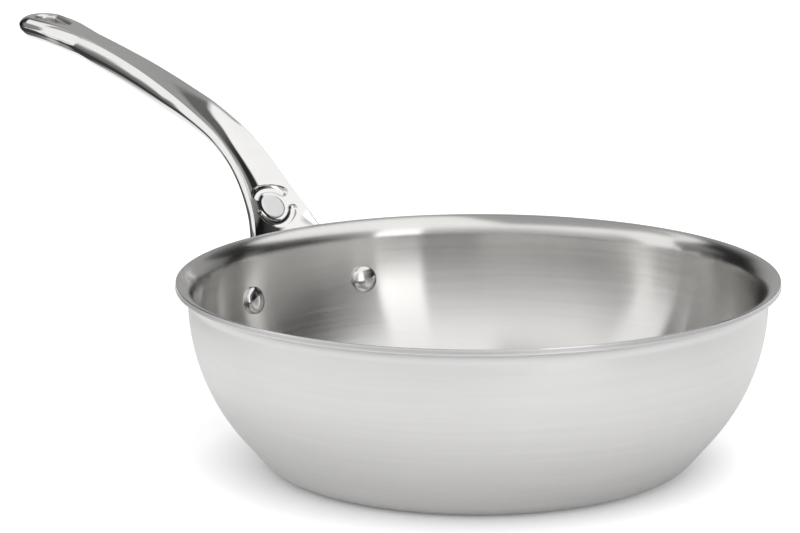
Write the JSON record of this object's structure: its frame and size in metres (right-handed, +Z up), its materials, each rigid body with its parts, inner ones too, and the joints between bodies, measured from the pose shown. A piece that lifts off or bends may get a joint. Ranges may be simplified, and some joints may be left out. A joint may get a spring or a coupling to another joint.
{
  "type": "saucier pan",
  "caption": "Saucier pan: laminated steel and aluminium bowl with rounded sides and a flared lip, with a long curved cast handle on two rivets and an eye to hang it by.",
  "frame": {"origin": "centre of the flat base, on the surface that the pan stands on", "axes": "+Z up out of the bowl, +X along the handle away from the bowl, +Y to the left of the handle"},
  "size_m": [0.4356, 0.244, 0.1482],
  "materials": {
    "cooking_surface": "fine circular brushing",
    "bond_layer": "turned edge",
    "core_layer": "turned edge",
    "outer_surface": "satin",
    "polished_casting": "mirror polish on cast stainless steel",
    "rivet_steel": "polished",
    "badge_steel": "satin, bare"
  },
  "bodies": {
    "root": {"cooking_ply": "cooking_surface", "upper_bond_ply": "bond_layer", "core_ply": "core_layer", "lower_bond_ply": "bond_layer", "induction_ply": "outer_surface", "handle": "polished_casting", "rivet_left": "rivet_steel", "rivet_right": "rivet_steel", "badge": "badge_steel"}
  },
  "joints": []
}
